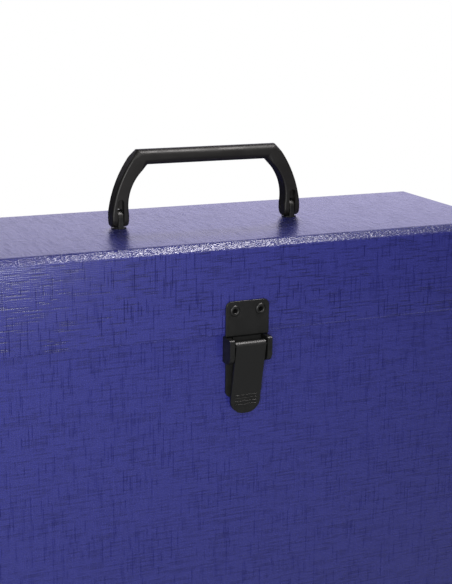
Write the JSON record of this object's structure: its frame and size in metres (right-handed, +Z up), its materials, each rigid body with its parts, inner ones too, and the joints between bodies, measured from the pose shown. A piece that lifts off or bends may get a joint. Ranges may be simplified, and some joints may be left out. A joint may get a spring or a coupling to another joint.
{
  "type": "archival box",
  "caption": "Upright storage box of blue paper-covered greyboard with a deep hinged lid, a black lever latch on the front and a swinging carrying handle.",
  "frame": {"origin": "on the underside, below the middle of the lid", "axes": "+X along the length, +Z up, the latch on the front, which faces -Y, and the hinges on the back, at +Y"},
  "size_m": [0.37, 0.1405, 0.323],
  "materials": {
    "embossed_paper": "satin",
    "base_paper": "matte",
    "lining_paper": "matte",
    "greyboard": "matte",
    "handle_plastic": "satin",
    "lug_plastic": "satin",
    "black_steel": "satin",
    "rivet_steel": "satin",
    "pin_steel": "satin",
    "washer_steel": "satin"
  },
  "bodies": {
    "body": {"body_front_board": "greyboard", "body_back_board": "greyboard", "body_side_board_left": "greyboard", "body_side_board_right": "greyboard", "body_base_board": "greyboard", "body_cover": "embossed_paper", "base_cover": "base_paper", "body_lining": "lining_paper", "latch_bracket": "black_steel", "latch_pin": "pin_steel", "latch_bracket_rivets": "rivet_steel", "latch_bracket_washers": "washer_steel", "hinge_body_leaf_left": "black_steel", "hinge_body_leaf_right": "black_steel", "hinge_pin_left": "pin_steel", "hinge_pin_right": "pin_steel", "hinge_body_rivets": "rivet_steel", "hinge_body_washers": "washer_steel"},
    "lid": {"lid_top_board": "greyboard", "lid_front_board": "greyboard", "lid_back_board": "greyboard", "lid_side_board_left": "greyboard", "lid_side_board_right": "greyboard", "lid_cover": "embossed_paper", "lid_lining": "lining_paper", "catch_plate": "black_steel", "catch_plate_rivets": "rivet_steel", "catch_plate_washers": "washer_steel", "handle_lug_left": "lug_plastic", "handle_lug_right": "lug_plastic", "handle_washers": "washer_steel", "hinge_lid_leaf_left": "black_steel", "hinge_lid_leaf_right": "black_steel", "hinge_lid_rivets": "rivet_steel", "hinge_lid_washers": "washer_steel"},
    "handle": {"handle": "handle_plastic", "handle_pin_left": "pin_steel", "handle_pin_right": "pin_steel"},
    "lever": {"latch_lever": "black_steel"}
  },
  "joints": [
    {"name": "lid_hinge", "type": "hinge", "parent": "body", "child": "lid", "pos_m": [0, 0.0667, 0.21935], "axis": [-1, 0, 0], "range_deg": [0, 180]},
    {"name": "handle_swing", "type": "hinge", "parent": "lid", "child": "handle", "pos_m": [0, 0, 0.2816], "axis": [1, 0, 0], "range_deg": [-90, 90]},
    {"name": "lever_flip", "type": "hinge", "parent": "body", "child": "lever", "pos_m": [0, -0.0686, 0.213], "axis": [-1, 0, 0], "range_deg": [0, 150]}
  ]
}
